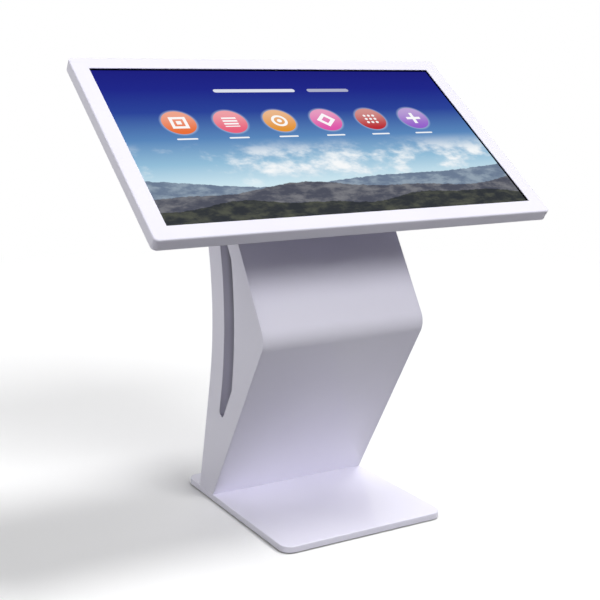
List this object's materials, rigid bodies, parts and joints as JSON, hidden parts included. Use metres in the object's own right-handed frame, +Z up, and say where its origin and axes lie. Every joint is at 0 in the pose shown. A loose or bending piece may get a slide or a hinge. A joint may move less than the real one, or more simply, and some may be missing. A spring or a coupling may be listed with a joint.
{
  "type": "touchscreen kiosk",
  "caption": "Free-standing touchscreen kiosk: a wide tilted display head on a bent sheet-metal column with recessed, vented side plates and a flat base.",
  "frame": {"origin": "on the floor, under the middle of the whole kiosk seen from above", "axes": "+Z up; -Y towards the user, whom the tilted screen faces; +X towards the user's right"},
  "size_m": [1.02, 0.5368, 1.084],
  "materials": {
    "white_paint": "satin",
    "screen_glass": "gloss",
    "display_black": "satin",
    "gasket_foam": "matte",
    "zinc_sheet": "satin",
    "frame_steel": "matte",
    "fastener_steel": "satin",
    "lock_chrome": "polished",
    "mesh_black": "matte",
    "board_green": "satin",
    "black_plastic": "matte",
    "case_grey": "satin",
    "soft_rubber": "matte",
    "cable_black": "matte"
  },
  "bodies": {
    "cabinet": {"ballast_plate": "frame_steel", "base_fixings": "fastener_steel", "base_pan": "white_paint", "bezel_frame": "white_paint", "cable_grommet": "soft_rubber", "column_sole": "frame_steel", "cross_tube_front_mid": "frame_steel", "cross_tube_rear_low": "frame_steel", "cross_tube_rear_mid": "frame_steel", "cross_tube_wedge": "frame_steel", "display_cable": "cable_black", "door_surround": "white_paint", "driver_board": "board_green", "equipment_shelf": "zinc_sheet", "fan_housing": "black_plastic", "foot_pads": "soft_rubber", "front_panel": "white_paint", "glass_gasket": "gasket_foam", "head_bracket": "zinc_sheet", "head_fixings": "fastener_steel", "head_spacers": "zinc_sheet", "hinge_leaf_fixed_lower": "zinc_sheet", "hinge_leaf_fixed_upper": "zinc_sheet", "hinge_pin_lower": "fastener_steel", "hinge_pin_upper": "fastener_steel", "lcd_panel": "display_black", "mains_cable": "cable_black", "mini_pc": "black_plastic", "panel_rail_left": "zinc_sheet", "panel_rail_right": "zinc_sheet", "power_inlet": "black_plastic", "power_shelf": "zinc_sheet", "power_supply": "case_grey", "rear_panel": "white_paint", "rear_panel_screws": "fastener_steel", "rear_top_bar": "frame_steel", "rear_tray": "white_paint", "recess_liner_left": "white_paint", "recess_liner_right": "white_paint", "side_caps": "white_paint", "side_plate_left": "white_paint", "side_plate_right": "white_paint", "speaker_left": "black_plastic", "speaker_right": "black_plastic", "top_plate": "zinc_sheet", "touch_controller": "board_green", "touch_glass": "screen_glass", "tray_screws": "fastener_steel", "tray_standoffs": "zinc_sheet", "vent_mesh_left": "mesh_black", "vent_mesh_right": "mesh_black", "wedge_cover": "white_paint"},
    "door": {"service_door": "white_paint", "hinge_leaf_door_upper": "zinc_sheet", "hinge_leaf_door_lower": "zinc_sheet", "lock_barrel": "lock_chrome"},
    "lock": {"lock_plug": "lock_chrome", "lock_cam": "lock_chrome"},
    "fan": {"fan_rotor": "black_plastic"},
    "rocker": {"rocker_switch": "black_plastic"}
  },
  "joints": [
    {"name": "door_hinge", "type": "hinge", "parent": "cabinet", "child": "door", "pos_m": [-0.15, 0.14692, 0.79916], "axis": [0, 0.1861, 0.9825], "range_deg": [0, 105]},
    {"name": "lock_turn", "type": "hinge", "parent": "door", "child": "lock", "pos_m": [0.118, 0.1425, 0.8], "axis": [0, 0.9825, -0.1861], "range_deg": [0, 90]},
    {"name": "fan_spin", "type": "hinge", "parent": "cabinet", "child": "fan", "pos_m": [0.2057, 0.0803, 0.837], "axis": [1, 0, 0], "continuous": true},
    {"name": "rocker_turn", "type": "hinge", "parent": "cabinet", "child": "rocker", "pos_m": [0, 0.16823, 0.09212], "axis": [1, 0, 0], "range_deg": [0, 16]}
  ]
}
